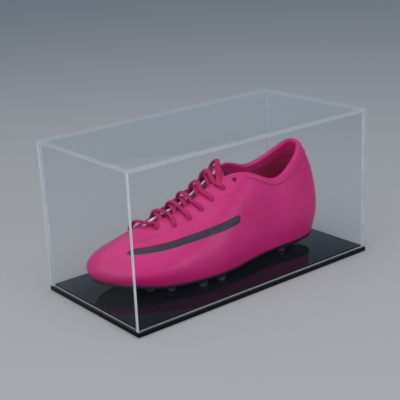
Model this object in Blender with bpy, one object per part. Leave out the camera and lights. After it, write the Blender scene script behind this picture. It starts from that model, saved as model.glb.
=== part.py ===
"""Clear display case on a black base, with one low-cut football boot standing in it.

Metres, +Z up. The origin is the centre of the base plate's underside. +X runs along
the case's long side. The boot's toe points to -X and its outer side faces -Y.
"""

import math

import bmesh
import bpy
import numpy as np
from mathutils import Vector

MM = 0.001

# ---- driving dimensions -------------------------------------------------------------

BOOT_LENGTH = 0.308        # heel bulge to toe tip
BOOT_WIDTH = 0.107         # across the ball of the foot
BOOT_HEIGHT = 0.126        # ground to the top edge of the heel

END_ROOM = 0.013           # boot to the inside of each end panel
SIDE_ROOM = 0.0295         # boot to the inside of the front and back panels
HEAD_ROOM = 0.0415         # heel collar to the inside of the top panel

SHEET = 0.003              # clear sheet of the cover
BASE_THICKNESS = 0.005
BASE_OVERHANG = 0.0004     # base plate past the cover, all round
PLINTH_HEIGHT = 0.0025     # raised panel that the cover drops over
COVER_PLAY = 0.0005        # plinth to the inside of the cover, all round
EDGE_BREAK = 0.0003        # taken off the sawn edges
JOINT_GAP = 0.0003         # between pieces that touch

UPPER_WALL = 0.0022
LINING_WALL = 0.0026
TONGUE_WALL = 0.0030
TONGUE_CLEARANCE = 0.0009  # between the tongue and the upper
TONGUE_CROWN = 0.36        # rise of the tongue's middle, as a share of the throat's width
INSOLE_THICKNESS = 0.0035
SOLE_THICKNESS = 0.0042
SOLE_EDGE_ROUND = 0.0018
BINDING_RADIUS = 0.0019
BINDING_END = 3.9          # stations from the heel to each end of the binding
LACE_RADIUS = 0.0017
LACE_ROWS = 7
LACE_CLEARANCE = 0.0014    # between the lace and the upper
LACE_LIFT = 0.0050         # clear of the tongue where the lace crosses it
STUD_TIP_RADIUS = 0.0042
STUD_TAPER = 0.0014        # how much wider a stud is where it meets the sole

BOOT_TURN = math.radians(176.5)   # toe towards -X, and a little towards +Y
BOOT_HEEL_Y = -0.0095             # heel's centre line, from the middle of the case
BOOT_TO_TOE_END = 0.004           # off the middle, towards the toe end

# ---- the boot's last ----------------------------------------------------------------

# Each station goes up the side of the boot: sole edge, belly, shoulder, upper wall and
# top edge. They start at the heel, go round the outer side (+Y) to the toe, and come
# back along the inner side. Millimetres from the heel, on a last of this size:
LAST_SIZE = (308.0, 107.0, 126.0)
STATIONS = (
    ((6, 0, 15), (0, 0, 42), (2, 0, 72), (8, 0, 101), (19, 0, 126)),
    ((14, 21, 15), (9, 24, 42), (10, 23, 70), (14, 19, 97), (24, 15, 122)),
    ((38, 31, 14), (36, 35, 41), (37, 33, 66), (40, 29, 88), (46, 25, 105)),
    ((78, 34, 13), (78, 37, 41), (78, 35, 65), (78, 32, 81), (78, 29, 93)),
    ((118, 41, 13), (118, 43, 40), (117, 39, 68), (115, 32, 91), (112, 22, 108)),
    ((162, 51, 12), (162, 54, 36), (160, 47, 61), (155, 31, 84), (148, 6, 101)),
    ((204, 51, 12), (204, 54, 32), (201, 46, 52), (193, 27, 70), (184, 2, 81)),
    ((246, 42, 13), (248, 45, 29), (243, 36, 43), (231, 20, 59), (212, 1, 73)),
    ((284, 19, 17), (288, 21, 28), (281, 14, 40), (261, 6, 52), (236, -3, 66)),
    ((303, -12, 20), (308, -12, 30), (301, -11, 41), (278, -9, 52), (244, -10, 64)),
    ((286, -37, 18), (290, -39, 29), (282, -35, 41), (260, -23, 53), (236, -16, 65)),
    ((252, -46, 14), (253, -49, 31), (246, -42, 47), (232, -31, 58), (212, -20, 71)),
    ((212, -49, 13), (212, -53, 33), (206, -47, 53), (197, -34, 67), (184, -20, 77)),
    ((165, -39, 15), (165, -43, 39), (162, -41, 64), (157, -33, 82), (148, -19, 98)),
    ((118, -29, 18), (118, -34, 43), (117, -35, 70), (115, -31, 93), (112, -22, 111)),
    ((78, -28, 17), (78, -33, 42), (78, -34, 67), (79, -32, 86), (80, -29, 100)),
    ((38, -29, 15), (36, -33, 41), (37, -33, 67), (40, -29, 91), (46, -25, 109)),
    ((14, -20, 15), (9, -24, 42), (10, -23, 70), (14, -19, 97), (24, -15, 123)),
)
TOE = len(STATIONS) // 2   # the toe tip's station
GRID_STEP = 1 / 3          # of the way from one station or line to the next

STUDS = (                  # centre, in millimetres on the same last
    (268, -9), (249, 17), (231, 32), (197, 45), (172, 45),
    (249, -33), (229, -38), (203, -38), (180, -31), (214, 0),
    (62, 20), (36, 16), (62, -20), (36, -16),
)


def last_scale():
    size = (BOOT_LENGTH, BOOT_WIDTH, BOOT_HEIGHT)
    return np.array([real / drawn for real, drawn in zip(size, LAST_SIZE)])


NET = np.array(STATIONS, float) * last_scale()


# ---- splines ------------------------------------------------------------------------

def spline_weights(count, places, closed):
    """Rows of weights that put a smooth cubic through count points, read at places."""
    bend = np.zeros((count, count))
    second = np.zeros((count, count))
    for i in range(count):
        if not closed and i in (0, count - 1):
            bend[i, i] = 1.0
            continue
        before, after = (i - 1) % count, (i + 1) % count
        bend[i, before] += 1.0
        bend[i, i] += 4.0
        bend[i, after] += 1.0
        second[i, before] += 6.0
        second[i, i] -= 12.0
        second[i, after] += 6.0
    curvature = np.linalg.solve(bend, second)
    rows = []
    for place in places:
        at = place % count if closed else min(max(place, 0.0), count - 1.0)
        start = int(at) if closed else min(int(at), count - 2)
        end = (start + 1) % count
        far = at - start
        near = 1.0 - far
        row = np.zeros(count)
        row[start] += near
        row[end] += far
        row += (near**3 - near) / 6.0 * curvature[start]
        row += (far**3 - far) / 6.0 * curvature[end]
        rows.append(row)
    return np.array(rows)


def last_grid(around, up, depth=0.0):
    """Points on the last, depth inside its surface. A row for each place going up."""
    step = 0.02

    def read(a, b):
        return np.einsum("vr,src,us->vuc", spline_weights(NET.shape[1], b, False), NET,
                         spline_weights(NET.shape[0], a, True))

    around, up = np.asarray(around, float), np.asarray(up, float)
    points = read(around, up)
    if depth == 0.0:
        return points
    along = read(around + step, up) - read(around - step, up)
    top = NET.shape[1] - 1.0
    rise = read(around, np.minimum(up + step, top)) - read(around, np.maximum(up - step, 0))
    out = np.cross(rise, along)
    return points - depth * out / np.linalg.norm(out, axis=2, keepdims=True)


def smooth_route(points, count):
    """An open smooth curve through points, with count points on it."""
    points = np.array(points, float)
    places = np.linspace(0.0, len(points) - 1.0, count)
    return spline_weights(len(points), places, False) @ points


# ---- Blender helpers ----------------------------------------------------------------

def material(name, colour, roughness, metallic=0.0, alpha=1.0):
    made = bpy.data.materials.new(name)
    made.use_nodes = True
    shader = made.node_tree.nodes["Principled BSDF"]
    shader.inputs["Base Color"].default_value = (*colour, 1.0)
    shader.inputs["Roughness"].default_value = roughness
    shader.inputs["Metallic"].default_value = metallic
    shader.inputs["Alpha"].default_value = alpha
    return made


def add_object(name, mesh, finish, parent=None):
    made = bpy.data.objects.new(name, mesh)
    bpy.context.scene.collection.objects.link(made)
    made.data.materials.append(finish)
    made.parent = parent
    return made


def mesh_of(name, points, faces, smooth=True):
    mesh = bpy.data.meshes.new(name)
    mesh.from_pydata([tuple(map(float, point)) for point in points], [], faces)
    shape = bmesh.new()
    shape.from_mesh(mesh)
    bmesh.ops.remove_doubles(shape, verts=shape.verts, dist=1e-6)
    bmesh.ops.recalc_face_normals(shape, faces=shape.faces)
    shape.to_mesh(mesh)
    shape.free()
    if smooth:
        mesh.shade_smooth()
        mesh.set_sharp_from_angle(angle=math.radians(40))
    return mesh


def add_box(name, low, high, finish, parent):
    """A box whose sawn edges are broken."""
    low, high = Vector(low), Vector(high)
    shape = bmesh.new()
    bmesh.ops.create_cube(shape, size=1.0)
    for vert in shape.verts:
        vert.co = Vector(v * side for v, side in zip(vert.co, high - low))
    mesh = bpy.data.meshes.new(name)
    shape.to_mesh(mesh)
    shape.free()
    made = add_object(name, mesh, finish, parent)
    made.location = (low + high) / 2
    bevel = made.modifiers.new("edge_break", "BEVEL")
    bevel.width = EDGE_BREAK
    bevel.segments = 1
    return made


def grid_faces(rows, columns, wrap):
    """Quads between the points of a grid, wrapped round in its columns or not."""
    faces = []
    for row in range(rows - 1):
        for column in range(columns if wrap else columns - 1):
            beside = (column + 1) % columns
            faces.append((row * columns + column, row * columns + beside,
                          (row + 1) * columns + beside, (row + 1) * columns + column))
    return faces


def add_skin(name, outer, inner, wrap, finish, parent):
    """A closed shell between two grids of points of the same size."""
    rows, columns = outer.shape[:2]
    size = rows * columns
    skin = grid_faces(rows, columns, wrap)
    faces = skin + [tuple(size + i for i in reversed(face)) for face in skin]
    edges = [[column for column in range(columns)],
             [(rows - 1) * columns + column for column in range(columns)]]
    if wrap:
        edges = [edge + edge[:1] for edge in edges]
    else:
        edges += [[row * columns for row in range(rows)],
                  [row * columns + columns - 1 for row in range(rows)]]
    for edge in edges:
        faces += [(a, b, size + b, size + a) for a, b in zip(edge, edge[1:])]
    points = np.concatenate([outer.reshape(-1, 3), inner.reshape(-1, 3)])
    return add_object(name, mesh_of(name, points, faces), finish, parent)


def add_slab(name, loops, finish, parent):
    """A solid stacked from closed loops, top first, that each start at the heel.

    Its two ends are closed straight across, from the outer side to the inner side.
    """
    count = len(loops[0])
    faces = grid_faces(len(loops), count, True)
    for first in (0, (len(loops) - 1) * count):
        for i in range(count // 2):
            left, right = (first + i, first + i + 1), (first - i, first - i - 1)
            right = tuple(first + (index - first) % count for index in right)
            face = (left[0], left[1], right[1], right[0])
            faces.append(tuple(dict.fromkeys(face)))
    points = np.concatenate(loops)
    return add_object(name, mesh_of(name, points, faces), finish, parent)


def add_tube(name, route, radius, finish, parent, cyclic=False):
    """A round cord or bead along a route of points."""
    curve = bpy.data.curves.new(name, "CURVE")
    curve.dimensions = "3D"
    spline = curve.splines.new("POLY")
    spline.points.add(len(route) - 1)
    for point, place in zip(spline.points, route):
        point.co = (*map(float, place), 1.0)
    spline.use_cyclic_u = cyclic
    curve.bevel_depth = radius
    curve.bevel_resolution = 2
    curve.use_fill_caps = True
    return add_object(name, curve, finish, parent)


# ---- the case -----------------------------------------------------------------------

def inside_of_cover():
    """Length, width and height of the space under the cover, from the base plate up."""
    return (BOOT_LENGTH + 2 * END_ROOM, BOOT_WIDTH + 2 * SIDE_ROOM,
            PLINTH_HEIGHT + BOOT_HEIGHT + HEAD_ROOM)


def add_base(black):
    length, width, _ = inside_of_cover()
    outer_x = length / 2 + SHEET + BASE_OVERHANG
    outer_y = width / 2 + SHEET + BASE_OVERHANG
    add_box("base_plate", (-outer_x, -outer_y, 0), (outer_x, outer_y, BASE_THICKNESS),
            black, None)
    inner_x, inner_y = length / 2 - COVER_PLAY, width / 2 - COVER_PLAY
    bottom = BASE_THICKNESS + JOINT_GAP
    add_box("base_plinth", (-inner_x, -inner_y, bottom),
            (inner_x, inner_y, BASE_THICKNESS + PLINTH_HEIGHT), black, None)


def add_cover(clear):
    """Five sheets: the long walls run past the ends, and the top lies on all four."""
    cover = bpy.data.objects.new("cover_lift", None)
    cover.location = (0, 0, BASE_THICKNESS)
    bpy.context.scene.collection.objects.link(cover)
    length, width, height = inside_of_cover()
    out_x, out_y = length / 2 + SHEET, width / 2 + SHEET
    in_x, in_y = length / 2, width / 2
    low, high = JOINT_GAP, height - JOINT_GAP
    add_box("cover_front_panel", (-out_x, -out_y, low), (out_x, -in_y, high), clear, cover)
    add_box("cover_back_panel", (-out_x, in_y, low), (out_x, out_y, high), clear, cover)
    end = in_y - JOINT_GAP
    add_box("cover_toe_end_panel", (-out_x, -end, low), (-in_x, end, high), clear, cover)
    add_box("cover_heel_end_panel", (in_x, -end, low), (out_x, end, high), clear, cover)
    add_box("cover_top_panel", (-out_x, -out_y, height), (out_x, out_y, height + SHEET),
            clear, cover)


# ---- the boot -----------------------------------------------------------------------

def add_upper(pink, parent):
    around = np.arange(0, 2 * TOE, GRID_STEP)
    up = GRID_STEP * np.arange(13)
    outer, inner = last_grid(around, up), last_grid(around, up, UPPER_WALL)
    add_skin("boot_upper", outer, inner, True, pink, parent)


def add_lining(dark_pink, parent):
    """The padded lining that hugs the inside of the heel, from ankle to ankle."""
    around = GRID_STEP * np.arange(-10, 11)
    up = GRID_STEP * np.arange(2, 12)
    near = UPPER_WALL + 2 * JOINT_GAP
    outer = last_grid(around, up, near)
    inner = last_grid(around, up, near + LINING_WALL)
    add_skin("boot_heel_lining", outer, inner, False, dark_pink, parent)


def add_binding(pink, parent):
    """The rolled edge that runs along the collar, from eyestay to eyestay."""
    around = np.linspace(-BINDING_END, BINDING_END, 24)
    middle = last_grid(around, [4.0], UPPER_WALL / 2)[0]
    below = last_grid(around, [4.0 - GRID_STEP], UPPER_WALL / 2)[0]
    outwards = middle - below
    outwards /= np.linalg.norm(outwards, axis=1, keepdims=True)
    add_tube("boot_collar_binding", middle + outwards * (BINDING_RADIUS + 2 * JOINT_GAP),
             BINDING_RADIUS, pink, parent)


def sole_outline(depth, drop):
    """The sole's edge, depth inside the last and drop below the upper's lower edge."""
    around = np.arange(0, 2 * TOE, GRID_STEP)
    edge = last_grid(around, [0.0])[0]
    inside = last_grid(around, [0.0], 1.0)[0] - edge
    inside[:, 2] = 0.0
    inside /= np.linalg.norm(inside, axis=1, keepdims=True)
    return edge + inside * depth - np.array([0.0, 0.0, drop])


def add_sole(black, parent):
    bottom = JOINT_GAP + SOLE_THICKNESS
    loops = [
        sole_outline(SOLE_EDGE_ROUND / 2, JOINT_GAP),
        sole_outline(0.0, JOINT_GAP + SOLE_EDGE_ROUND / 2),
        sole_outline(0.0, bottom - SOLE_EDGE_ROUND),
        sole_outline(SOLE_EDGE_ROUND, bottom),
    ]
    add_slab("boot_sole_plate", loops, black, parent)


def add_insole(dark_pink, parent):
    around = np.arange(0, 2 * TOE, GRID_STEP)
    depth = UPPER_WALL + 2 * JOINT_GAP
    lower = last_grid(around, [0.12], depth)[0]
    upper = lower + np.array([0.0, 0.0, INSOLE_THICKNESS])
    return add_slab("boot_insole", [upper, lower], dark_pink, parent)


def sole_underside(x):
    """Height of the sole plate's underside at a distance x from the heel."""
    around = np.linspace(0, TOE, 91)
    edge = last_grid(around, [0.0])[0]
    height = np.interp(x, edge[:, 0], edge[:, 2])
    return height - JOINT_GAP - SOLE_THICKNESS


def add_studs(black, parent):
    for number, (x, y) in enumerate(STUDS, start=1):
        x, y = np.array([x, y]) * last_scale()[:2]
        reach = STUD_TIP_RADIUS + STUD_TAPER
        top = min(sole_underside(x + side) for side in (-reach, 0.0, reach)) - JOINT_GAP
        shape = bmesh.new()
        bmesh.ops.create_cone(shape, cap_ends=True, segments=14, radius1=STUD_TIP_RADIUS,
                              radius2=reach, depth=top)
        tip = [edge for edge in shape.edges if all(vert.co.z < 0 for vert in edge.verts)]
        bmesh.ops.bevel(shape, geom=tip, offset=STUD_TIP_RADIUS / 3, segments=2,
                        affect="EDGES", profile=0.5)
        mesh = bpy.data.meshes.new(f"boot_stud_{number}")
        shape.to_mesh(mesh)
        shape.free()
        mesh.shade_smooth()
        mesh.set_sharp_from_angle(angle=math.radians(35))
        stud = add_object(f"boot_stud_{number}", mesh, black, parent)
        stud.location = (x, y, top / 2)


def tongue_sections(depth):
    """Sections across the tongue, depth under the surface of the eyestays beside it."""
    rows = []
    for place in np.linspace(TOE - 0.6, 4.05, 12):
        outer, inner = (last_grid([side], [3.2, 3.6, 4.0], depth)[:, 0]
                        for side in (place, -place))
        crown = (outer[2] + inner[2]) / 2
        crown[2] += TONGUE_CROWN * np.linalg.norm(outer[2] - inner[2])
        rows.append(smooth_route([*outer, crown, *inner[::-1]], 11))
    return np.array(rows)


def add_tongue(pale, parent):
    near = UPPER_WALL + TONGUE_CLEARANCE
    outer = tongue_sections(near)
    inner = tongue_sections(near + TONGUE_WALL)
    add_skin("boot_tongue", outer, inner, False, pale, parent)


def lace_route():
    """One cord that zigzags up the throat, from eyelet to eyelet."""
    clear = LACE_RADIUS + LACE_CLEARANCE
    route = []
    for row, place in enumerate(np.linspace(TOE - 0.75, 4.35, LACE_ROWS)):
        outer, inner = (last_grid([side], [3.62, 3.8, 4.0], -clear)[:, 0]
                        for side in (place, -place))
        crown = (outer[2] + inner[2]) / 2
        crown[2] += TONGUE_CROWN * np.linalg.norm(outer[2] - inner[2]) + LACE_LIFT
        crossing = [*outer, crown, *inner[::-1]]
        route += crossing if row % 2 == 0 else crossing[::-1]
    return smooth_route(route, 97)


def add_boot():
    pink = material("pink_synthetic", (0.55, 0.02, 0.16), 0.35)
    dark_pink = material("dark_pink_lining", (0.22, 0.005, 0.06), 0.8)
    pale = material("pale_tongue_mesh", (0.55, 0.25, 0.35), 0.7)
    black = material("black_sole", (0.015, 0.015, 0.02), 0.4)
    lace = material("pink_lace", (0.45, 0.015, 0.10), 0.7)

    stand = bpy.data.objects.new("boot_lift", None)
    length = inside_of_cover()[0]
    stand.location = (length / 2 - END_ROOM - BOOT_TO_TOE_END, BOOT_HEEL_Y,
                      BASE_THICKNESS + PLINTH_HEIGHT + JOINT_GAP)
    stand.rotation_euler = (0, 0, BOOT_TURN)
    bpy.context.scene.collection.objects.link(stand)

    add_upper(pink, stand)
    add_lining(dark_pink, stand)
    add_binding(pink, stand)
    add_sole(black, stand)
    add_insole(dark_pink, stand)
    add_studs(black, stand)
    add_tongue(pale, stand)
    add_tube("boot_lace", lace_route(), LACE_RADIUS, lace, stand)


def main():
    for old in list(bpy.data.objects):
        bpy.data.objects.remove(old, do_unlink=True)
    add_base(material("gloss_black", (0.01, 0.01, 0.012), 0.05))
    add_cover(material("clear_sheet", (0.95, 0.97, 0.98), 0.02, alpha=0.25))
    add_boot()


main()
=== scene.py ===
import math

import bmesh
import bpy
import numpy as np
from mathutils import Matrix, Vector


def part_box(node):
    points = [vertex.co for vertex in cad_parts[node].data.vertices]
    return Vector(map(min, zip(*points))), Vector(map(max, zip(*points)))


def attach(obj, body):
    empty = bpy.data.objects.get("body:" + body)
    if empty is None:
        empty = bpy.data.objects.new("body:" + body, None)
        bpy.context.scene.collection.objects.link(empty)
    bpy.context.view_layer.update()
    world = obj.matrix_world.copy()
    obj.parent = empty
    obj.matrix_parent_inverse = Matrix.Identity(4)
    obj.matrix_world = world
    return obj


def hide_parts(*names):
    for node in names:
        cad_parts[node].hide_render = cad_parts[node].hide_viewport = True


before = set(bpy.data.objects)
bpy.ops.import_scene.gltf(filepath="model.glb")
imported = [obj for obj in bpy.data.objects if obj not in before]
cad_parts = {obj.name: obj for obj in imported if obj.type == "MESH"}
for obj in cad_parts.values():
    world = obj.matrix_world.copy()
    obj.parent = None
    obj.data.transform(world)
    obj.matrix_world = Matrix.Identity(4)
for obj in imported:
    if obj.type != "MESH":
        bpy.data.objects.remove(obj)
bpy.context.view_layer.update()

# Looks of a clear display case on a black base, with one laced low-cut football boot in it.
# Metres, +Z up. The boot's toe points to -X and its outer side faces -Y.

MM = 0.001

# ---- camera and room -----------------------------------------------------------------

CAMERA_PLACE = (-0.6695, -0.8269, 0.4399)
CAMERA_TURN = math.radians(-38.37)
CAMERA_TILT = math.radians(90 - 18.34)
CAMERA_ROLL = math.radians(-2.66)
CAMERA_LENS = 87.3


def add_camera():
    camera = bpy.data.objects.new("camera", bpy.data.cameras.new("camera"))
    bpy.context.scene.collection.objects.link(camera)
    camera.data.lens = CAMERA_LENS
    camera.data.clip_end = 60.0
    turned = Matrix.Rotation(CAMERA_TURN, 4, "Z") @ Matrix.Rotation(CAMERA_TILT, 4, "X")
    rolled = turned @ Matrix.Rotation(CAMERA_ROLL, 4, "Z")
    camera.matrix_world = Matrix.Translation(CAMERA_PLACE) @ rolled
    bpy.context.scene.camera = camera


def add_softbox(name, place, aim, width, height, watts, colour):
    lamp = bpy.data.objects.new(name, bpy.data.lights.new(name, "AREA"))
    bpy.context.scene.collection.objects.link(lamp)
    lamp.data.shape = "RECTANGLE"
    lamp.data.size, lamp.data.size_y = width, height
    lamp.data.energy = watts
    lamp.data.color = colour
    lamp.location = place
    lamp.rotation_euler = (Vector(aim) - Vector(place)).to_track_quat("-Z", "Y").to_euler()


def add_room():
    world = bpy.data.worlds.new("studio_air")
    bpy.context.scene.world = world
    world.use_nodes = True
    air = world.node_tree.nodes["Background"]
    air.inputs["Color"].default_value = (0.66, 0.82, 1.0, 1.0)
    air.inputs["Strength"].default_value = 0.40
    add_softbox("overhead_softbox", (-0.2, 0.1, 1.5), (0, 0, 0), 2.0, 2.0, 11.5, (1, 0.98, 0.95))
    add_softbox("left_softbox", (-1.5, -0.5, 0.8), (0, 0, 0.08), 1.5, 1.4, 9.5, (1, 0.97, 0.93))
    add_softbox("front_softbox", (0.3, -1.6, 0.7), (0, 0, 0.05), 1.8, 1.2, 10.0, (0.96, 0.98, 1))


# ---- finishes ------------------------------------------------------------------------

def new_finish(name, colour, roughness, **sockets):
    made = bpy.data.materials.new(name)
    made.use_nodes = True
    shader = made.node_tree.nodes["Principled BSDF"]
    shader.inputs["Base Color"].default_value = (*colour, 1.0)
    shader.inputs["Roughness"].default_value = roughness
    for socket, value in sockets.items():
        shader.inputs[socket.replace("_", " ")].default_value = value
    return made


def shader_of(finish):
    return finish.node_tree.nodes["Principled BSDF"]


def add_node(finish, kind, **inputs):
    node = finish.node_tree.nodes.new(kind)
    for socket, value in inputs.items():
        node.inputs[socket.replace("_", " ")].default_value = value
    return node


def join(finish, output, socket):
    finish.node_tree.links.new(output, socket)


def place_on(finish, node, coordinates):
    """Feeds a node's vector from the object's own space or from its UV map."""
    source = add_node(finish, "ShaderNodeTexCoord")
    join(finish, source.outputs[coordinates], node.inputs["Vector"])


def noise(finish, scale, detail=3.0):
    node = add_node(finish, "ShaderNodeTexNoise", Scale=scale, Detail=detail)
    place_on(finish, node, "Object")
    return node.outputs["Fac"]


def give_mottle(finish, dark, light, scale):
    """Slow changes of colour between two close tones."""
    ramp = add_node(finish, "ShaderNodeValToRGB")
    ramp.color_ramp.elements[0].position = 0.3
    ramp.color_ramp.elements[1].position = 0.7
    ramp.color_ramp.elements[0].color = (*dark, 1.0)
    ramp.color_ramp.elements[1].color = (*light, 1.0)
    join(finish, noise(finish, scale, 4.0), ramp.inputs["Fac"])
    join(finish, ramp.outputs["Color"], shader_of(finish).inputs["Base Color"])


def give_uneven_gloss(finish, low, high, scale):
    span = add_node(finish, "ShaderNodeMapRange", From_Min=0.3, From_Max=0.7, To_Min=low,
                    To_Max=high)
    join(finish, noise(finish, scale), span.inputs["Value"])
    join(finish, span.outputs["Result"], shader_of(finish).inputs["Roughness"])


def give_relief(finish, height, depth):
    """Adds a height pattern to the surface, on top of any that is there."""
    bump = add_node(finish, "ShaderNodeBump", Strength=1.0, Distance=depth)
    join(finish, height, bump.inputs["Height"])
    normal = shader_of(finish).inputs["Normal"]
    if normal.is_linked:
        join(finish, normal.links[0].from_socket, bump.inputs["Normal"])
    join(finish, bump.outputs["Normal"], normal)


def give_pebble(finish, cell, depth):
    """Fine leather pebbling, with cells of about the given size."""
    cells = add_node(finish, "ShaderNodeTexVoronoi", Scale=1.0 / cell)
    cells.feature = "SMOOTH_F1"
    place_on(finish, cells, "Object")
    give_relief(finish, cells.outputs["Distance"], depth)


# How far a wave texture of scale 1 turns over one unit, in radians.
WAVE_TURN = 20.0


def give_weave(finish, pitch, depth):
    """Plain weave on the UV map, whose unit is a metre."""
    threads = []
    for direction in ("X", "Y"):
        wave = add_node(finish, "ShaderNodeTexWave", Scale=math.tau / WAVE_TURN / pitch)
        wave.bands_direction = direction
        place_on(finish, wave, "UV")
        threads.append(wave.outputs["Fac"])
    both = add_node(finish, "ShaderNodeMath")
    both.operation = "MULTIPLY"
    for thread, socket in zip(threads, both.inputs):
        join(finish, thread, socket)
    give_relief(finish, both.outputs[0], depth)


def gloss_black():
    made = new_finish("polished_black_acrylic", (0.006, 0.007, 0.011), 0.05, IOR=1.49,
                      Specular_IOR_Level=0.15)
    give_uneven_gloss(made, 0.03, 0.06, 14.0)
    return made


def sawn_black():
    made = new_finish("sawn_black_edge", (0.004, 0.004, 0.005), 0.4, Specular_IOR_Level=0.1)
    give_relief(made, noise(made, 900.0), 0.06 * MM)
    return made


MIRROR_POWER = 6.0
MIRROR_FACE_ON = 0.002
MIRROR_EDGE_ON = 0.8
HAZE_SHARE = 0.001


def clear_face():
    """Flat clear sheet: it passes what is behind it and mirrors more at a slant."""
    made = new_finish("clear_acrylic_face", (0.8, 0.85, 0.88), 0.5)
    give_mottle(made, (0.70, 0.74, 0.78), (0.86, 0.89, 0.92), 12.0)
    passing = add_node(made, "ShaderNodeBsdfTransparent", Color=(0.968, 0.978, 0.982, 1))
    mirror = add_node(made, "ShaderNodeBsdfGlossy", Color=(1, 1, 1, 1), Roughness=0.03)
    slant = add_node(made, "ShaderNodeLayerWeight", Blend=0.5)
    steep = add_node(made, "ShaderNodeMath")
    steep.operation = "POWER"
    steep.inputs[1].default_value = MIRROR_POWER
    join(made, slant.outputs["Facing"], steep.inputs[0])
    share = add_node(made, "ShaderNodeMapRange", To_Min=MIRROR_FACE_ON, To_Max=MIRROR_EDGE_ON)
    join(made, steep.outputs[0], share.inputs["Value"])
    dusty = add_node(made, "ShaderNodeMixShader", Fac=HAZE_SHARE)
    join(made, passing.outputs[0], dusty.inputs[1])
    join(made, shader_of(made).outputs[0], dusty.inputs[2])
    both = add_node(made, "ShaderNodeMixShader")
    join(made, share.outputs["Result"], both.inputs["Fac"])
    join(made, dusty.outputs[0], both.inputs[1])
    join(made, mirror.outputs[0], both.inputs[2])
    join(made, both.outputs[0], made.node_tree.nodes["Material Output"].inputs["Surface"])
    return made


def clear_edge_painted_glow(name, alpha):
    """Polished cut edge, painted pale and nearly opaque as a painted glow of the light that runs
    inside the sheet and comes out there.
    """
    made = new_finish(name, (0.64, 0.67, 0.68), 0.25, Alpha=alpha)
    give_mottle(made, (0.58, 0.62, 0.63), (0.70, 0.73, 0.74), 60.0)
    give_relief(made, noise(made, 500.0), 0.03 * MM)
    return made


PINK = (0.68, 0.016, 0.190)
DEEP_PINK = (0.60, 0.010, 0.155)


def pink_synthetic():
    made = new_finish("pink_synthetic_leather", PINK, 0.36, Coat_Weight=0.06, Coat_Roughness=0.22,
                      Specular_IOR_Level=0.35)
    give_mottle(made, DEEP_PINK, PINK, 22.0)
    give_uneven_gloss(made, 0.33, 0.45, 30.0)
    give_pebble(made, 1.1 * MM, 0.02 * MM)
    give_relief(made, noise(made, 60.0, 2.0), 0.3 * MM)
    return made


def fabric(name, dark, light, pitch, depth, sheen=0.2):
    made = new_finish(name, light, 0.8, Sheen_Weight=sheen, Sheen_Roughness=0.4)
    give_mottle(made, dark, light, 90.0)
    give_weave(made, pitch, depth)
    return made


# How far the pale band reaches from the tongue's ridge: where it fades from and to.
BAND_EDGE = (1.9 * MM, 2.2 * MM)


def banded_tongue_painted_shade():
    """Mesh in a dark plum that is painted shade of the tongue's sides, with a pale band along its
    ridge, where the UV map crosses zero.
    """
    made = fabric("tongue_mesh_plum_painted_shade", (0.10, 0.012, 0.055), (0.16, 0.02, 0.085), 1.3 * MM,
                  0.18 * MM)
    split = add_node(made, "ShaderNodeSeparateXYZ")
    place_on(made, split, "UV")
    across = add_node(made, "ShaderNodeMath")
    across.operation = "ABSOLUTE"
    join(made, split.outputs["X"], across.inputs[0])
    band = add_node(made, "ShaderNodeMapRange", From_Min=BAND_EDGE[0], From_Max=BAND_EDGE[1],
                    To_Min=1.0, To_Max=0.0)
    join(made, across.outputs[0], band.inputs["Value"])
    both = add_node(made, "ShaderNodeMixRGB", Color2=(0.78, 0.70, 0.74, 1))
    colour = shader_of(made).inputs["Base Color"]
    join(made, colour.links[0].from_socket, both.inputs["Color1"])
    join(made, band.outputs["Result"], both.inputs["Fac"])
    join(made, both.outputs["Color"], colour)
    return made


# ---- helpers for pieces --------------------------------------------------------------

def select_only(*pieces):
    bpy.ops.object.select_all(action="DESELECT")
    for piece in pieces:
        piece.select_set(True)
    if pieces:
        bpy.context.view_layer.objects.active = pieces[0]


SMOOTH_BELOW = math.radians(40)


def smooth(piece):
    """Smooth shading, except across its sharper edges."""
    select_only(piece)
    bpy.ops.object.shade_smooth_by_angle(angle=SMOOTH_BELOW)


def settle(piece):
    """Moves the object's place, turn and size into its mesh."""
    select_only(piece)
    bpy.ops.object.transform_apply(location=True, rotation=True, scale=True)


def apply_modifier(piece, kind, **settings):
    modifier = piece.modifiers.new(kind.lower(), kind)
    for name, value in settings.items():
        setattr(modifier, name, value)
    select_only(piece)
    bpy.ops.object.modifier_apply(modifier=modifier.name)


def hand_in(piece, body, slot, *replaced):
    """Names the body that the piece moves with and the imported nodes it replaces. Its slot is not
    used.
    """
    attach(piece, body)
    if replaced:
        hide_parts(*replaced)


# ---- the case ------------------------------------------------------------------------

SAWN_EDGE = 0.5 * MM


def add_sheet(name, node, face, edge, level_edge, body, slot):
    """One sheet, cut to its packed size, with its sawn edges slightly rounded.

    Edges that look up have level_edge, the other edges have edge, and the two faces and
    what looks down have face.
    """
    low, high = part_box(node)
    sides = high - low
    thin = min(range(3), key=lambda axis: sides[axis])
    select_only()
    bpy.ops.mesh.primitive_cube_add(size=1, location=(low + high) / 2, scale=sides)
    piece = bpy.context.object
    piece.name = name
    settle(piece)
    apply_modifier(piece, "BEVEL", width=SAWN_EDGE, segments=3)
    for finish in (face, edge, level_edge):
        piece.data.materials.append(finish)
    for polygon in piece.data.polygons:
        level = polygon.normal.z
        if abs(polygon.normal[thin]) < 0.99 and level > -0.99:
            polygon.material_index = 2 if level > 0.5 else 1
    smooth(piece)
    hand_in(piece, body, slot, node)


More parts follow.
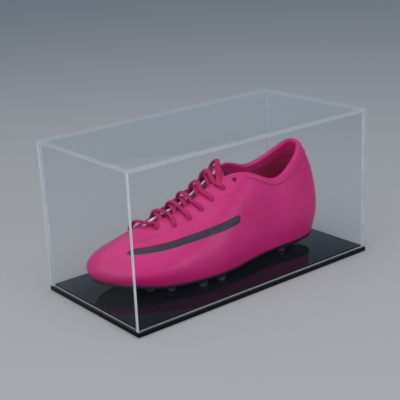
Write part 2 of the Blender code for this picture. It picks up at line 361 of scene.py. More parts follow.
def add_case():
    clear = clear_face()
    # The cut edges carry a painted glow. The level edges carry a dimmer copy of it, as painted
    # shade where less light falls.
    cut = clear_edge_painted_glow("clear_acrylic_cut_edge_painted_glow", 0.85)
    level_cut_dimmer_glow = clear_edge_painted_glow("clear_acrylic_level_edge_dimmer_painted_glow", 0.28)
    black, sawn = gloss_black(), sawn_black()
    for place in ("front", "back", "toe_end", "heel_end", "top"):
        # Edges that look up, and all of the top sheet's edges, take the dimmer painted glow.
        edge = level_cut_dimmer_glow if place == "top" else cut
        add_sheet(f"{place}_sheet", f"cover_{place}_panel", clear, edge, level_cut_dimmer_glow, "cover",
                  "clear_cover")
    add_sheet("base_sheet", "base_plate", black, sawn, sawn, "base", "black_base")
    add_sheet("plinth_sheet", "base_plinth", black, sawn, sawn, "base", "black_base")


# ---- the boot's last -----------------------------------------------------------------

# Each station goes up the side of the boot: sole edge, belly, shoulder, upper wall and
# top edge. They start at the heel, go round the outer side to the toe, and come back
# along the inner side. Millimetres from the heel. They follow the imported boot, except
# that the toe is up to 3 mm fuller on top.
STATIONS = (
    ((6, 0, 15), (0, 0, 42), (2, 0, 72), (8, 0, 101), (19, 0, 126)),
    ((14, 21, 15), (9, 24, 42), (10, 23, 70), (14, 19, 97), (24, 15, 122)),
    ((38, 31, 14), (36, 35, 41), (37, 33, 66), (40, 29, 88), (46, 25, 105)),
    ((78, 34, 13), (78, 37, 41), (78, 35, 65), (78, 32, 81), (78, 29, 93)),
    ((118, 41, 13), (118, 43, 40), (117, 39, 68), (115, 32, 91), (112, 22, 108)),
    ((162, 51, 12), (162, 54, 36), (160, 47, 61), (155, 31, 84), (148, 6, 101)),
    ((204, 51, 12), (204, 54, 32), (201, 46, 52), (193, 27, 70), (184, 2, 81)),
    ((246, 42, 13), (248, 45, 29), (243, 36, 43), (231, 20, 59), (212, 1, 73)),
    ((284, 19, 17), (288, 21, 28), (282, 15, 41), (263, 7, 54), (236, -3, 68)),
    ((303, -12, 20), (308, -12, 30), (302, -11, 42), (281, -9, 54), (244, -10, 67)),
    ((286, -37, 18), (290, -39, 29), (283, -36, 42), (262, -24, 55), (236, -16, 67)),
    ((252, -46, 14), (253, -49, 31), (246, -42, 47), (232, -31, 58), (212, -20, 71)),
    ((212, -49, 13), (212, -53, 33), (206, -47, 53), (197, -34, 67), (184, -20, 77)),
    ((165, -39, 15), (165, -43, 39), (162, -41, 64), (157, -33, 82), (148, -19, 98)),
    ((118, -29, 18), (118, -34, 43), (117, -35, 70), (115, -31, 93), (112, -22, 111)),
    ((78, -28, 17), (78, -33, 42), (78, -34, 67), (79, -32, 86), (80, -29, 100)),
    ((38, -29, 15), (36, -33, 41), (37, -33, 67), (40, -29, 91), (46, -25, 109)),
    ((14, -20, 15), (9, -24, 42), (10, -23, 70), (14, -19, 97), (24, -15, 123)),
)
NET = np.array(STATIONS, float) * MM
TOE = len(STATIONS) // 2
BOOT_TURN = math.radians(176.5)
GROUND_GAP = 0.3 * MM

WALL = 2.2 * MM
# How much the collar's padding adds to the wall. It fades out over these stations from
# the heel, and fades in over these heights.
COLLAR_PAD = 4.6 * MM
PAD_STATIONS = (3.0, 4.4)
PAD_HEIGHTS = (2.7, 3.5)


def spline_weights(count, places, closed):
    """Rows of weights that put a smooth cubic through count points, read at places."""
    bend = np.zeros((count, count))
    second = np.zeros((count, count))
    for i in range(count):
        if not closed and i in (0, count - 1):
            bend[i, i] = 1.0
            continue
        for at, share, rate in ((i - 1, 1.0, 6.0), (i, 4.0, -12.0), (i + 1, 1.0, 6.0)):
            bend[i, at % count] += share
            second[i, at % count] += rate
    curvature = np.linalg.solve(bend, second)
    rows = []
    for place in places:
        at = place % count if closed else min(max(place, 0.0), count - 1.0)
        start = int(at) if closed else min(int(at), count - 2)
        end = (start + 1) % count
        far = at - start
        near = 1.0 - far
        row = np.zeros(count)
        row[start] += near
        row[end] += far
        row += (near**3 - near) / 6.0 * curvature[start]
        row += (far**3 - far) / 6.0 * curvature[end]
        rows.append(row)
    return np.array(rows)


def on_last(around, up):
    """(points, outward normals) of the last on a grid, a row for each place going up."""
    around, up = np.asarray(around, float), np.asarray(up, float)
    step = 0.02

    def read(a, b):
        return np.einsum("vr,src,us->vuc", spline_weights(NET.shape[1], b, False), NET,
                         spline_weights(NET.shape[0], a, True))

    along = read(around + step, up) - read(around - step, up)
    top = NET.shape[1] - 1.0
    rise = read(around, np.minimum(up + step, top)) - read(around, np.maximum(up - step, 0))
    out = np.cross(rise, along)
    return read(around, up), out / np.linalg.norm(out, axis=2, keepdims=True)


def at_last(around, up, out=0.0):
    """One point on the last, out from its surface."""
    points, normals = on_last([around], [up])
    return points[0, 0] + normals[0, 0] * out


def ease(low, high, value):
    share = np.clip((value - low) / (high - low), 0.0, 1.0)
    return share * share * (3 - 2 * share)


def from_heel(around):
    """Stations from the heel, on either side."""
    around = np.asarray(around) % (2 * TOE)
    return np.minimum(around, 2 * TOE - around)


def wall_of(around, up):
    """The upper's wall, thicker in the padded collar."""
    pad = 1 - ease(*PAD_STATIONS, from_heel(around))
    return WALL + COLLAR_PAD * pad[None, :] * ease(*PAD_HEIGHTS, up)[:, None]


def boot_place():
    """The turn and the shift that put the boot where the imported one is."""
    turn = np.array(Matrix.Rotation(BOOT_TURN, 3, "Z"))
    surface = on_last(np.arange(0, 2 * TOE, 1 / 3), np.arange(13) / 3)[0]
    turned = surface.reshape(-1, 3) @ turn.T
    low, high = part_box("boot_upper")
    middle = (turned.min(0) + turned.max(0)) / 2
    shift = np.array((low + high) / 2) - middle
    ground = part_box("base_plinth")[1].z + GROUND_GAP
    return turn, np.array([shift[0], shift[1], ground])


TURN, SHIFT = boot_place()


def in_case(points):
    return np.asarray(points) @ TURN.T + SHIFT


def smooth_route(points, count):
    points = np.array(points, float)
    places = np.linspace(0.0, len(points) - 1.0, count)
    return spline_weights(len(points), places, False) @ points


# ---- boot pieces ---------------------------------------------------------------------

def grid_faces(rows, columns, wrap_columns, wrap_rows):
    faces = []
    for row in range(rows if wrap_rows else rows - 1):
        above = (row + 1) % rows
        for column in range(columns if wrap_columns else columns - 1):
            beside = (column + 1) % columns
            faces.append((row * columns + column, row * columns + beside,
                          above * columns + beside, above * columns + column))
    return faces


def new_piece(name, points, faces, finishes, uv=None):
    """A smooth piece in the boot's own place, with a UV map in metres if uv is given."""
    mesh = bpy.data.meshes.new(name)
    mesh.from_pydata([tuple(p) for p in in_case(points).tolist()], [], faces)
    if uv is not None:
        layer = mesh.uv_layers.new(name="UVMap")
        loops = np.empty(len(mesh.loops), np.int32)
        mesh.loops.foreach_get("vertex_index", loops)
        layer.data.foreach_set("uv", np.asarray(uv, np.float32)[loops].ravel())
    piece = bpy.data.objects.new(name, mesh)
    bpy.context.scene.collection.objects.link(piece)
    for finish in finishes:
        mesh.materials.append(finish)
    tidy = bmesh.new()
    tidy.from_mesh(mesh)
    bmesh.ops.recalc_face_normals(tidy, faces=tidy.faces)
    tidy.to_mesh(mesh)
    tidy.free()
    mesh.shade_smooth()
    return piece


def two_skins(rows, columns):
    """Faces of a closed sheet: a grid of points, the grid behind it and their four edges."""
    size = rows * columns
    skin = grid_faces(rows, columns, False, False)
    faces = skin + [tuple(size + i for i in reversed(face)) for face in skin]
    for edge in (range(columns), range(size - columns, size), range(0, size, columns),
                 range(columns - 1, size, columns)):
        faces += [(a, b, size + b, size + a) for a, b in zip(edge, edge[1:])]
    return faces


def round_edge(outer, inner, outwards, steps):
    """Rows of points that turn from outer to inner over a half round."""
    middle, side = (outer + inner) / 2, (outer - inner) / 2
    radius = np.linalg.norm(side, axis=1, keepdims=True)
    outwards = outwards / np.linalg.norm(outwards, axis=1, keepdims=True)
    rows = []
    for angle in np.linspace(0, math.pi, steps + 2)[1:-1]:
        rows.append(middle + side * math.cos(angle) + outwards * radius * math.sin(angle))
    return rows


UPPER_ROWS = 96
UPPER_COLUMNS = 288
# The share of the upper's height that the outer material is folded in over the rim.
FOLDED_IN = 0.07
# How far the eyestays are raised, and the heights and stations where their step is.
EYESTAY_STEP = 0.3 * MM
EYESTAY_HEIGHTS = (3.06, 3.14)
EYESTAY_STATIONS = (4.15, 4.3)
# Each crease: stations from the heel where it starts and ends, heights there, depth, width.
CREASES = (
    (0.9, 2.4, 3.05, 1.75, 0.5 * MM, 0.20),
    (1.2, 2.9, 2.4, 1.1, 0.35 * MM, 0.18),
)


def upper_surface(around, up):
    """The upper's outside: the last, with the raised eyestays and a few soft creases."""
    points, normals = on_last(around, up)
    side, height = np.meshgrid(from_heel(around), up)
    lift = EYESTAY_STEP * ease(*EYESTAY_HEIGHTS, height) * ease(*EYESTAY_STATIONS, side)
    for start, end, low, high, depth, width in CREASES:
        share = np.clip((side - start) / (end - start), 0, 1)
        line = low + (high - low) * share
        fade = ease(0.0, 0.25, share) * ease(0.0, 0.25, 1 - share)
        lift = lift - depth * fade * np.exp(-((height - line) / width) ** 2)
    return points + normals * lift[:, :, None], normals


def add_upper(pink, lining):
    around = np.arange(UPPER_COLUMNS) * 2 * TOE / UPPER_COLUMNS
    up = np.linspace(0, 4, UPPER_ROWS)
    outer, normals = upper_surface(around, up)
    inner = on_last(around, up)[0] - normals * wall_of(around, up)[:, :, None]
    rim = round_edge(outer[-1], inner[-1], outer[-1] - outer[-3], 7)
    foot = round_edge(inner[0], outer[0], outer[0] - outer[2], 3)
    rows = [*outer, *rim, *inner[::-1], *foot]
    faces = grid_faces(len(rows), UPPER_COLUMNS, True, True)
    piece = new_piece("boot_upper_skin", np.concatenate(rows), faces, [pink, lining])
    first_inside = UPPER_ROWS + len(rim) + round(UPPER_ROWS * FOLDED_IN)
    after_inside = 2 * UPPER_ROWS + len(rim)
    for index, polygon in enumerate(piece.data.polygons):
        row = index // UPPER_COLUMNS
        polygon.material_index = int(first_inside <= row < after_inside)
    punch_eyelets(piece)
    hand_in(piece, "boot", "pink_upper", "boot_upper")


# ---- the lacing ----------------------------------------------------------------------

# Station and height of each eyelet, from the toe end up. Both sides share them.
EYELETS = ((7.35, 3.62), (6.62, 3.32), (6.10, 3.24), (5.66, 3.30), (5.27, 3.40), (4.85, 3.55),
           (4.45, 3.72))
EYELET_HOLE = 2.1 * MM
EYELET_RIM = 0.55 * MM
EYELET_RIM_GAP = 0.35 * MM
LACE_HALF_WIDTH = 3.3 * MM
LACE_HALF_THICKNESS = 1.55 * MM
# How far a lace's middle lies off the last where it runs over an eyestay.
LACE_ABOVE = EYESTAY_STEP + LACE_HALF_THICKNESS + 0.5 * MM
LACE_STEPS = 72
# How far the throat's middle stands above its edges, as a share of its width.
TONGUE_CROWN = 0.36


def eyelet_frames():
    """(centre, outward normal, direction along the row) of each eyelet on both sides."""
    found = []
    for side in (1, -1):
        for station, height in EYELETS:
            points, normals = on_last([side * station], [height])
            ahead = on_last([side * station + 0.05], [height])[0][0, 0] - points[0, 0]
            found.append((points[0, 0], normals[0, 0], ahead / np.linalg.norm(ahead)))
    return found


def turned_to(normal, along, place):
    """A matrix whose Z is the normal and whose X runs along."""
    z = Vector(TURN @ normal).normalized()
    y = z.cross(Vector(TURN @ along)).normalized()
    x = y.cross(z)
    matrix = Matrix((x, y, z)).transposed().to_4x4()
    matrix.translation = Vector(in_case(place).tolist())
    return matrix


def punch_eyelets(upper):
    cutters = []
    for centre, normal, along in eyelet_frames():
        select_only()
        bpy.ops.mesh.primitive_cylinder_add(vertices=24, radius=EYELET_HOLE, depth=12 * MM)
        cutter = bpy.context.object
        cutter.matrix_world = turned_to(normal, along, centre)
        cutters.append(cutter)
    select_only(*cutters)
    bpy.ops.object.join()
    cutter = bpy.context.object
    apply_modifier(upper, "BOOLEAN", object=cutter, operation="DIFFERENCE", solver="EXACT")
    bpy.data.objects.remove(cutter)


def add_eyelet_rims(finish):
    rims = []
    for centre, normal, along in eyelet_frames():
        select_only()
        bpy.ops.mesh.primitive_torus_add(major_radius=EYELET_HOLE + EYELET_RIM_GAP,
                                         minor_radius=EYELET_RIM, major_segments=28,
                                         minor_segments=10)
        rim = bpy.context.object
        rim.matrix_world = turned_to(normal, along, centre + normal * EYESTAY_STEP)
        settle(rim)
        rims.append(rim)
    select_only(*rims)
    bpy.ops.object.join()
    piece = bpy.context.object
    piece.name = "boot_eyelet_rims"
    piece.data.materials.append(finish)
    select_only(piece)
    bpy.ops.object.shade_smooth()
    hand_in(piece, "boot", "pink_upper")


def crown_at(place, lift):
    """The middle of the throat at a station, above the tongue's ridge."""
    outer, inner = at_last(place, 4.0), at_last(-place, 4.0)
    crown = (outer + inner) / 2
    crown[2] += TONGUE_CROWN * np.linalg.norm(outer - inner) - WALL + lift
    return crown


def ribbon(route, crown_row, half_width, half_thickness, sides=14):
    """Points, faces and UV map of a flat lace that follows a route without twisting.

    It lies level at crown_row, and its two ends taper.
    """
    route = np.asarray(route)
    tangents = np.gradient(route, axis=0)
    tangents /= np.linalg.norm(tangents, axis=1, keepdims=True)
    flat = np.zeros_like(route)
    first = np.array([0.0, 0.0, 1.0])
    flat[crown_row] = first - tangents[crown_row] * (first @ tangents[crown_row])
    for step in (1, -1):
        index = crown_row + step
        while 0 <= index < len(route):
            before = flat[index - step]
            flat[index] = before - tangents[index] * (before @ tangents[index])
            index += step
    flat /= np.linalg.norm(flat, axis=1, keepdims=True)
    across = np.cross(tangents, flat)
    # A section a little squarer than an ellipse:
    angles = np.linspace(0, math.tau, sides, endpoint=False)
    wide = np.sign(np.cos(angles)) * np.abs(np.cos(angles)) ** 0.75
    thick = np.sign(np.sin(angles)) * np.abs(np.sin(angles)) ** 0.9
    taper = np.ones(len(route))
    taper[[0, -1]] = 0.35
    taper[[1, -2]] = 0.8
    rings = (route[:, None, :]
             + across[:, None, :] * (wide * half_width)[None, :, None] * taper[:, None, None]
             + flat[:, None, :] * (thick * half_thickness)[None, :, None] * taper[:, None, None])
    lengths = np.concatenate([[0], np.cumsum(np.linalg.norm(np.diff(route, axis=0), axis=1))])
    girth = np.linspace(0, 4 * half_width, sides, endpoint=False)
    uv = np.stack([np.tile(girth, len(route)), np.repeat(lengths, sides)], 1)
    faces = grid_faces(len(route), sides, True, False)
    faces.append(tuple(range(sides)))
    faces.append(tuple((len(route) - 1) * sides + i for i in reversed(range(sides))))
    return rings.reshape(-1, 3), faces, uv


def into_eyelet(station, height, lead):
    """End of a route: it starts a little higher up the eyestay and goes down the eyelet."""
    return [
        at_last(station, height + lead, LACE_ABOVE - 0.4 * MM),
        at_last(station, height, -1.2 * MM),
        at_last(station, height - 0.05, -WALL - 1.8 * MM),
    ]


def crossing(from_place, to_place, to_height, side, peak, lift):
    """Route from under the far eyestay at one row to the eyelet on this side at another.

    Its points are shared out between the throat's edges and the crown, which is at the
    station peak and stands above the tongue's ridge by lift.
    """
    over = from_place * 0.35 + to_place * 0.65
    begin = (from_place + 2 * peak) / 3
    crown = crown_at(peak, lift)
    far_edge = at_last(-side * begin, 4.0)
    near_edge = at_last(side * over, 4.0, LACE_ABOVE)
    return [
        at_last(-side * from_place, 3.74, -WALL - 1.5 * MM),
        far_edge * 0.86 + crown_at(begin, -3.0 * MM) * 0.14,
        far_edge * 0.55 + crown_at(begin, lift + 1.5 * MM) * 0.45 + (0, 0, lift * 0.4),
        crown,
        crown * 0.4 + near_edge * 0.6 + (0, 0, 1.6 * MM),
        near_edge,
        at_last(side * (to_place + 0.06), (to_height + 4.0) / 2, LACE_ABOVE),
        *into_eyelet(side * to_place, to_height, 0.1),
    ]


# Station where each crossing is highest, and how far it stands above the tongue's ridge
# when it ends on the outer side. The others lie low under them.
LACE_PEAKS = ((7.25, 4.6 * MM), (6.5, 5.8 * MM), (6.0, 9.0 * MM), (5.45, 7.8 * MM),
              (5.04, 8.4 * MM), (4.67, 8.6 * MM))
LOW_LACE = 1.8 * MM
# The straight bar at the toe end, up to where it meets the outer eyestay. Millimetres.
BAR_TOP = ((245, -26, 59), (245, -23, 64), (243.5, -19, 69), (243, -13, 72.3), (236, -2, 71.5))


def add_laces(woven):
    """All runs as one piece. Each run lies flat at a crown, a share of its way along."""
    station, height = EYELETS[0]
    bar = [np.array(point) * MM for point in BAR_TOP]
    bar += [at_last(station + 0.1, 3.85, LACE_ABOVE), *into_eyelet(station, height, 0.08)]
    routes = [(bar, 0.3)]
    laced = EYELETS[:-1] + EYELETS[-2:-1]
    for start, end, (peak, lift) in zip(laced, laced[1:], LACE_PEAKS):
        routes.append((crossing(start[0], *end, 1, peak, lift), 0.33))
        routes.append((crossing(start[0], *end, -1, peak, LOW_LACE), 0.33))
    pieces = []
    for number, (route, crown) in enumerate(routes, start=1):
        fine = smooth_route(route, LACE_STEPS)
        points, faces, uv = ribbon(fine, round(crown * (LACE_STEPS - 1)), LACE_HALF_WIDTH,
                                   LACE_HALF_THICKNESS)
        pieces.append(new_piece(f"lace_run_{number}", points, faces, [woven], uv))
    select_only(*pieces)
    bpy.ops.object.join()
    laces = bpy.context.object
    laces.name = "boot_laces"
    hand_in(laces, "boot", "pink_lace", "boot_lace")


# ---- tongue, lining and small trim ---------------------------------------------------

TONGUE_CLEARANCE = 0.9 * MM
TONGUE_THICKNESS = 3.4 * MM
TONGUE_TOP = 4.74
TONGUE_COLUMNS = 33
# How far the rounded free end reaches, and the length of a row in the UV map.
TONGUE_END = 6 * MM
TONGUE_ROW = 3.2 * MM


def tongue_section(place, depth, narrow=1.0):
    """A row of points across the throat, at a depth under the last."""
    outer, inner = (np.array([at_last(side * place, up, -depth) for up in (3.2, 3.6, 4.0)])
                    for side in (1, -1))
    crown = (outer[2] + inner[2]) / 2
    crown[2] += TONGUE_CROWN * np.linalg.norm(outer[2] - inner[2])
    row = smooth_route([*outer, crown, *inner[::-1]], TONGUE_COLUMNS)
    middle = row[TONGUE_COLUMNS // 2]
    return middle + (row - middle) * narrow


def add_tongue(mesh_cloth):
    """A padded sheet under the eyestays, with a rounded free end above them."""
    near = WALL + TONGUE_CLEARANCE
    far = near + TONGUE_THICKNESS
    below, top = TONGUE_TOP + 0.4, TONGUE_TOP
    rise = at_last(top, 4.0) + at_last(-top, 4.0) - at_last(below, 4.0) - at_last(-below, 4.0)
    rise = rise / np.linalg.norm(rise)
    rows = [(tongue_section(place, near), tongue_section(place, far))
            for place in np.linspace(TOE - 0.5, TONGUE_TOP, 44)]
    for share in np.linspace(0.15, 1.0, 9):
        narrow = math.sqrt(max(1 - share ** 2.6, 0.02)) * 0.97
        thin = math.sqrt(max(1 - share ** 4, 0.02))
        reach = rise * TONGUE_END * share
        outer = tongue_section(TONGUE_TOP, near, narrow) + reach
        inner = tongue_section(TONGUE_TOP, far, narrow) + reach
        middle = (outer + inner) / 2
        rows.append((middle + (outer - middle) * thin, middle + (inner - middle) * thin))
    rings, uv = [], []
    width = np.linspace(-0.5, 0.5, TONGUE_COLUMNS)
    around = 2 * TONGUE_COLUMNS
    for index, (outer, inner) in enumerate(rows):
        rings.append(np.concatenate([outer, inner[::-1]]))
        across = np.concatenate([width, width[::-1]]) * np.linalg.norm(outer[0] - outer[-1])
        uv.append(np.stack([across, np.full(around, index * TONGUE_ROW)], 1))
    faces = grid_faces(len(rings), around, True, False)
    for first in (0, (len(rings) - 1) * around):
        for column in range(TONGUE_COLUMNS - 1):
            a, b = first + column, first + around - 1 - column
            faces.append((a, a + 1, b - 1, b))
    piece = new_piece("boot_tongue_pad", np.concatenate(rings), faces, [mesh_cloth],
                      np.concatenate(uv))
    hand_in(piece, "boot", "tongue_fabric", "boot_tongue")


# About how far apart the last's stations and heights are at the heel.
STATION_LENGTH = 25 * MM
HEIGHT_LENGTH = 28 * MM


def add_heel_padding(cloth):
    """The padded lining round the heel. Its edges are thin and tucked into the wall."""
    around = np.linspace(-3.5, 3.5, 85)
    up = np.linspace(0.75, 3.42, 40)
    points, normals = on_last(around, up)
    ends = ease(0.0, 0.35, around[-1] - np.abs(around))[None, :]
    fade = ends * (ease(0.75, 1.1, up) * ease(0.0, 0.6, up[-1] - up))[:, None]
    gap = wall_of(around, up) + (1.3 * fade - 1.0) * MM
    thick = (0.4 + 1.8 * fade) * MM
    outer = points - normals * gap[:, :, None]
    inner = points - normals * (gap + thick)[:, :, None]
    grid = np.stack(np.meshgrid(around * STATION_LENGTH, up * HEIGHT_LENGTH), -1).reshape(-1, 2)
    piece = new_piece("boot_heel_padding", np.concatenate([outer, inner]).reshape(-1, 3),
                      two_skins(len(up), len(around)), [cloth], np.concatenate([grid, grid]))
    hand_in(piece, "boot", "dark_lining", "boot_heel_lining")


PIPING_HEIGHT = 3.62
PIPING_RADIUS = 0.6 * MM


def add_collar_piping(finish):
    """The thin bead that outlines the padded collar, from eyestay to eyestay."""
    around = np.linspace(-4.1, 4.1, 160)
    height = PIPING_HEIGHT + 0.1 * ease(2.5, 4.1, np.abs(around))
    route = [at_last(a, h, 0.15 * MM) for a, h in zip(around, height)]
    points, faces, uv = ribbon(route, len(route) // 2, PIPING_RADIUS, PIPING_RADIUS, 10)
    piece = new_piece("boot_collar_piping", points, faces, [finish], uv)
    hand_in(piece, "boot", "collar_binding", "boot_collar_binding")


STITCH_LENGTH = 2.1 * MM
STITCH_PITCH = 3.0 * MM
STITCH_RADIUS = 0.3 * MM
STITCH_LIFT = 0.05 * MM
STITCH_SIDES = 6


def stitch_line(around, up, lift=STITCH_LIFT):
    """(centre, normal, direction) of stitches, evenly spaced along a line on the last."""
    fine = np.array([at_last(a, u, lift) for a, u in zip(around, up)])
    normals = np.array([on_last([a], [u])[1][0, 0] for a, u in zip(around, up)])
    lengths = np.concatenate([[0], np.cumsum(np.linalg.norm(np.diff(fine, axis=0), axis=1))])

    def read(distance, line):
        return np.array([np.interp(distance, lengths, line[:, k]) for k in range(3)])

    found = []
    for distance in np.arange(STITCH_PITCH / 2, lengths[-1], STITCH_PITCH):
        centre, ahead = read(distance, fine), read(distance + 0.3 * MM, fine)
        normal = read(distance, normals)
        if np.linalg.norm(ahead - centre) > 0.1 * MM:
            found.append((centre, normal, ahead - centre))
    return found


# A stitch's rings: where each is along it, and how thick it is there.
STITCH_RINGS = ((-0.5, 0.3), (-0.32, 1.0), (0.32, 1.0), (0.5, 0.3))


def add_stitching(thread):
    """Two rows along each eyestay, one on each side of the heel seam, and one round the collar."""
    places = []
    for side in (1, -1):
        stations = np.linspace(8.7, 4.25, 70)
        for height in (3.88, 3.19):
            places += stitch_line(side * stations, np.full(70, height),
                                  EYESTAY_STEP + STITCH_LIFT)
        places += stitch_line(np.full(40, side * 0.14), np.linspace(0.25, 3.5, 40))
    places += stitch_line(np.linspace(-4.0, 4.0, 90), np.full(90, PIPING_HEIGHT - 0.13))
    points, faces = [], []
    angles = np.linspace(0, math.tau, STITCH_SIDES, endpoint=False)
    for centre, normal, along in places:
        z = normal / np.linalg.norm(normal)
        x = along - z * (along @ z)
        x = x / np.linalg.norm(x)
        y = np.cross(z, x)
        first, last = len(points), len(points) + (len(STITCH_RINGS) - 1) * STITCH_SIDES
        for reach, girth in STITCH_RINGS:
            for angle in angles:
                points.append(centre + x * reach * STITCH_LENGTH
                              + (y * math.cos(angle) + z * math.sin(angle))
                              * girth * STITCH_RADIUS)
        for face in grid_faces(len(STITCH_RINGS), STITCH_SIDES, True, False):
            faces.append(tuple(first + i for i in face))
        faces.append(tuple(range(first, first + STITCH_SIDES)))
        faces.append(tuple(reversed(range(last, last + STITCH_SIDES))))
    piece = new_piece("boot_stitching", np.array(points), faces, [thread])
    hand_in(piece, "boot", "pink_upper")


# The bar runs from one station back towards the heel, by a number of stations.
BAR_ROWS = 120
BAR_COLUMNS = 13
BAR_START = 8.0
BAR_LENGTH = 3.45
BAR_HALF_WIDTH = 4.6 * MM


def add_side_bar(charcoal):
    """A plain straight bar of even width with round ends, bonded to the outer side."""
    stations = BAR_START - BAR_LENGTH * (1 - np.cos(np.linspace(0, math.pi, BAR_ROWS))) / 2
    heights = 2.62 - 0.62 * ease(BAR_START, 4.0, stations)
    line = np.array([at_last(a, h) for a, h in zip(stations, heights)])
    reach = np.concatenate([[0], np.cumsum(np.linalg.norm(np.diff(line, axis=0), axis=1))])
    end = np.clip(np.minimum(reach, reach[-1] - reach) / BAR_HALF_WIDTH, 0, 1)
    width = BAR_HALF_WIDTH * np.sqrt(np.clip(1 - (1 - end) ** 2, 0.003, 1))
    outer, under = [], []
    for station, height, wide in zip(stations, heights, width):
        rise = np.linalg.norm(at_last(station, height + 0.1) - at_last(station, height)) / 0.1
        for share in np.linspace(-1, 1, BAR_COLUMNS):
            place = (station, height + share * wide / rise)
            outer.append(at_last(*place, 0.12 * MM + 0.28 * MM * (1 - abs(share) ** 6)))
            under.append(at_last(*place, -0.4 * MM))
    piece = new_piece("boot_side_bar", np.array(outer + under),
                      two_skins(BAR_ROWS, BAR_COLUMNS), [charcoal])
    hand_in(piece, "boot", "pink_upper")


# ---- sole ----------------------------------------------------------------------------

SOLE_PLACES = np.arange(0, 2 * TOE, 1 / 12)
# The outsole's section, top first: (inset from the last's lower edge, drop below it).
# Millimetres, as are the sock liner's rows: (rise above its lower edge, inset).
OUTSOLE_ROWS = ((1.6, 0.3), (0.3, 0.35), (-0.5, 0.8), (-0.7, 1.6), (-0.5, 2.8), (0.2, 3.9),
                (1.4, 4.4), (4.0, 4.5))
SOCK_ROWS = ((3.5, 2.0), (3.3, 0.8), (2.6, 0.2), (0.6, 0.1), (0.1, 0.8))


def sole_line(up):
    """Points, normals and level normals of the last all round at a height."""
    points, normals = (grid[0] for grid in on_last(SOLE_PLACES, [up]))
    level = normals * (1.0, 1.0, 0.0)
    return points, normals, level / np.linalg.norm(level, axis=1, keepdims=True)


def add_slab(name, loops, finish):
    """A solid stacked from closed loops, top first, that each start at the heel."""
    count = len(loops[0])
    faces = grid_faces(len(loops), count, True, False)
    for first in (0, (len(loops) - 1) * count):
        for i in range(count // 2):
            corners = (i, i + 1, (-i - 1) % count, -i % count)
            faces.append(tuple(first + corner for corner in dict.fromkeys(corners)))
    points = np.concatenate(loops)
    return new_piece(name, points, faces, [finish], points[:, :2])


def add_outsole(black):
    edge, _, level = sole_line(0.0)
    loops = [edge - level * inset * MM - (0.0, 0.0, drop * MM) for inset, drop in OUTSOLE_ROWS]
    piece = add_slab("boot_outsole", loops, black)
    piece.data.set_sharp_from_angle(angle=math.radians(50))
    hand_in(piece, "boot", "black_sole", "boot_sole_plate")


def add_sock_liner(cloth):
    lower, normals, level = sole_line(0.12)
    edge = lower - normals * (WALL + 0.6 * MM)
    loops = [edge - level * inset * MM + (0.0, 0.0, rise * MM) for rise, inset in SOCK_ROWS]
    piece = add_slab("boot_sock_liner", loops, cloth)
    hand_in(piece, "boot", "dark_lining", "boot_insole")


STUDS = 14
STUD_TAPER = 0.74
STUD_ROUNDING = 1.1 * MM
STUD_WORN = 5.0 * MM


def add_cleats(tipped):
    """Round studs that narrow downwards to a rounded tip."""
    for number in range(1, STUDS + 1):
        low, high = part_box(f"boot_stud_{number}")
        middle = (low + high) / 2
        select_only()
        bpy.ops.mesh.primitive_cylinder_add(vertices=36, radius=(high.x - low.x) / 2,
                                            depth=high.z - low.z, location=middle)
        cleat = bpy.context.object
        cleat.name = f"boot_cleat_{number}"
        settle(cleat)
        bpy.ops.object.mode_set(mode="EDIT")
        shape = bmesh.from_edit_mesh(cleat.data)
        bpy.ops.mesh.select_all(action="DESELECT")
        bpy.ops.mesh.select_mode(type="FACE")
        shape.faces.ensure_lookup_table()
        for face in shape.faces:
            face.select = face.normal.z < -0.9
        bmesh.update_edit_mesh(cleat.data)
        bpy.ops.transform.resize(value=(STUD_TAPER, STUD_TAPER, 1),
                                 center_override=(middle.x, middle.y, low.z))
        bpy.ops.mesh.bevel(offset=STUD_ROUNDING, segments=4, affect="EDGES")
        bpy.ops.object.mode_set(mode="OBJECT")
        cleat.data.materials.append(tipped)
        smooth(cleat)
        hand_in(cleat, "boot", "black_studs", f"boot_stud_{number}")


def stud_plastic():
    """Dark teal-black moulding that turns paler at the worn tips."""
    made = new_finish("stud_plastic", (0.02, 0.03, 0.04), 0.3)
    split = add_node(made, "ShaderNodeSeparateXYZ")
    place_on(made, split, "Object")
    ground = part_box("boot_stud_1")[0].z
    reach = add_node(made, "ShaderNodeMapRange", From_Min=ground, From_Max=ground + STUD_WORN)
    join(made, split.outputs["Z"], reach.inputs["Value"])
    ramp = add_node(made, "ShaderNodeValToRGB")
    ramp.color_ramp.elements[0].color = (0.10, 0.16, 0.20, 1)
    ramp.color_ramp.elements[1].color = (0.012, 0.020, 0.026, 1)
    join(made, reach.outputs["Result"], ramp.inputs["Fac"])
    join(made, ramp.outputs["Color"], shader_of(made).inputs["Base Color"])
    give_uneven_gloss(made, 0.25, 0.4, 300.0)
    return made


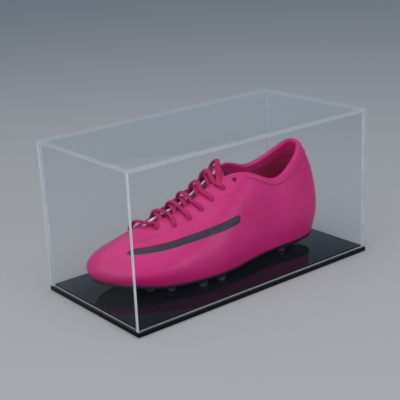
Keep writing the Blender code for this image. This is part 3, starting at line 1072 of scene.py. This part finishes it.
def add_boot():
    pink = pink_synthetic()
    lining = fabric("deep_pink_lining", (0.50, 0.008, 0.11), (0.64, 0.012, 0.15), 1.1 * MM,
                    0.1 * MM)
    woven = fabric("pink_woven_lace", (0.44, 0.004, 0.085), (0.62, 0.008, 0.14), 1.0 * MM,
                   0.2 * MM, 0.04)
    # The tongue's dark plum is painted shade.
    plum = banded_tongue_painted_shade()
    rim = new_finish("eyelet_edge", (0.30, 0.01, 0.08), 0.45)
    give_mottle(rim, (0.24, 0.008, 0.06), (0.34, 0.014, 0.10), 400.0)
    piping = new_finish("collar_piping", (0.40, 0.014, 0.11), 0.5)
    give_mottle(piping, (0.34, 0.012, 0.095), (0.44, 0.018, 0.125), 300.0)
    give_relief(piping, noise(piping, 1500.0), 0.1 * MM)
    thread = new_finish("pink_thread", (0.42, 0.014, 0.11), 0.55)
    give_mottle(thread, (0.36, 0.012, 0.095), (0.48, 0.02, 0.13), 900.0)
    charcoal = new_finish("charcoal_film", (0.022, 0.018, 0.030), 0.36, Specular_IOR_Level=0.4)
    give_mottle(charcoal, (0.018, 0.015, 0.026), (0.030, 0.025, 0.040), 45.0)
    give_uneven_gloss(charcoal, 0.3, 0.42, 60.0)
    give_pebble(charcoal, 1.1 * MM, 0.05 * MM)
    sole = new_finish("black_outsole", (0.007, 0.007, 0.010), 0.38, Specular_IOR_Level=0.35)
    give_uneven_gloss(sole, 0.3, 0.5, 60.0)
    give_pebble(sole, 0.8 * MM, 0.06 * MM)

    add_upper(pink, lining)
    add_eyelet_rims(rim)
    add_laces(woven)
    add_tongue(plum)
    add_heel_padding(lining)
    add_collar_piping(piping)
    add_stitching(thread)
    add_side_bar(charcoal)
    add_outsole(sole)
    add_sock_liner(lining)
    add_cleats(stud_plastic())


# ---- floor ---------------------------------------------------------------------------

def add_floor():
    select_only()
    bpy.ops.mesh.primitive_plane_add(size=40, location=(0, 0, -0.2 * MM))
    floor = bpy.context.object
    floor.name = "floor"
    floor.data.materials.append(new_finish("pale_floor", (0.44, 0.43, 0.43), 0.75))


bpy.context.scene.view_settings.view_transform = "Standard"
add_camera()
add_room()
add_floor()
add_case()
add_boot()
